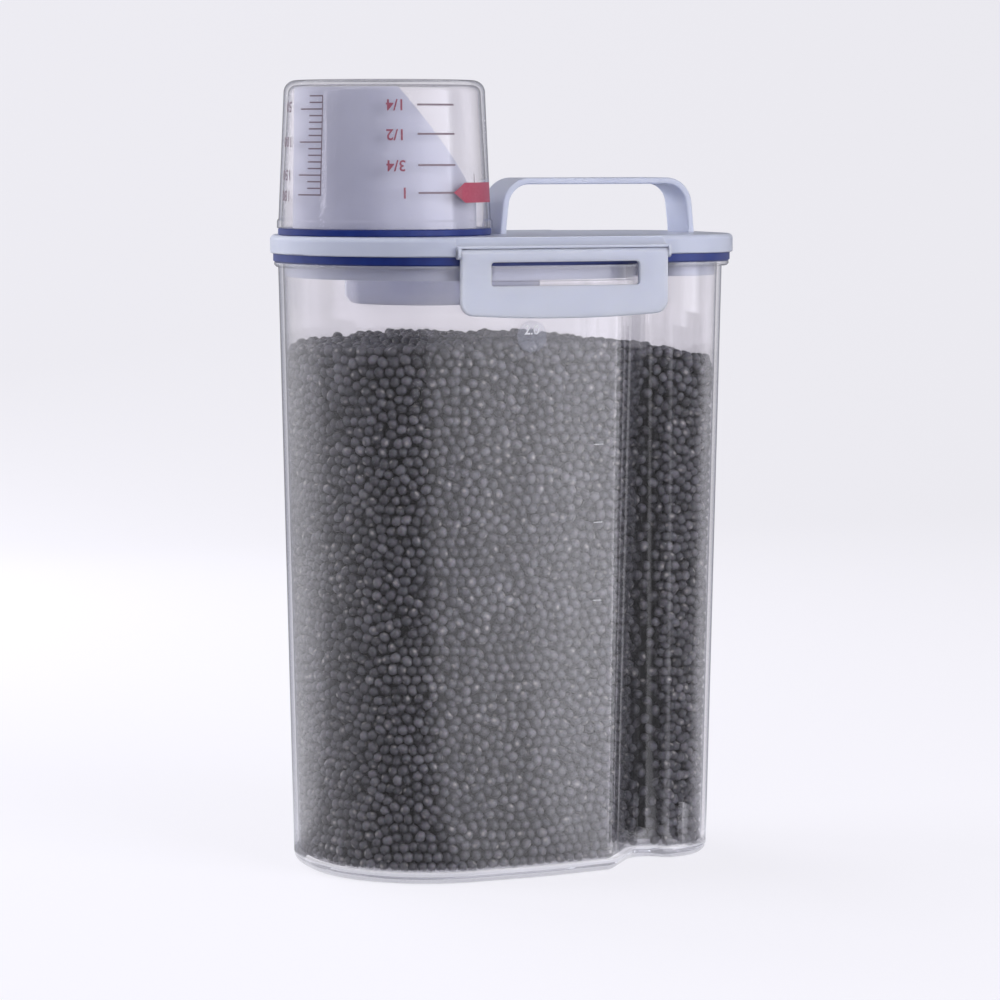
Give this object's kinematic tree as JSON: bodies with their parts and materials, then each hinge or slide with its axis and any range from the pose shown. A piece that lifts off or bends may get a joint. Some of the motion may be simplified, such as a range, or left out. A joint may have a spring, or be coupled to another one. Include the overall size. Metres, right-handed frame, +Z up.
{
  "type": "pet food storage container",
  "caption": "Clear tapered container with side grip grooves, latched sealing lid, strap handle, pouring spout and a measuring cup that caps the spout.",
  "frame": {"origin": "centre of the bounding box's bottom, on the surface the container stands on", "axes": "+Z up; X along the length, the measuring cup and spout at -X and the handle at +X; the front latch faces -Y"},
  "size_m": [0.1732, 0.1222, 0.292],
  "materials": {
    "clear_plastic": "clear, polished, slightly lavender",
    "lid_plastic": "pale blue-grey, satin gloss",
    "spout_plastic": "pale blue-grey, satin gloss",
    "navy_silicone": "navy-blue, matt"
  },
  "bodies": {
    "container": {"container_body": "clear_plastic"},
    "lid": {"lid": "lid_plastic", "lid_gasket": "navy_silicone", "pouring_spout": "spout_plastic", "cup_gasket": "navy_silicone", "handle": "lid_plastic"},
    "cup": {"measuring_cup": "clear_plastic"},
    "latch_front": {"front_latch": "lid_plastic"},
    "latch_rear": {"rear_latch": "lid_plastic"}
  },
  "joints": [
    {"name": "lid_lift", "type": "slide", "parent": "container", "child": "lid", "axis": [0, 0, 1], "range_m": [0, 0.02]},
    {"name": "cup_lift", "type": "slide", "parent": "lid", "child": "cup", "axis": [0, 0, 1], "range_m": [0, 0.06]},
    {"name": "front_latch_hinge", "type": "hinge", "parent": "lid", "child": "latch_front", "pos_m": [0.0007, -0.0593, 0.2294], "axis": [-1, 0, 0], "range_deg": [0, 95]},
    {"name": "rear_latch_hinge", "type": "hinge", "parent": "lid", "child": "latch_rear", "pos_m": [0.0007, 0.0593, 0.2294], "axis": [1, 0, 0], "range_deg": [0, 95]}
  ],
  "couplings": [
    {"joint": "front_latch_hinge", "follows": "lid_lift", "rad_per_m": 82.9},
    {"joint": "rear_latch_hinge", "follows": "lid_lift", "rad_per_m": 82.9}
  ]
}
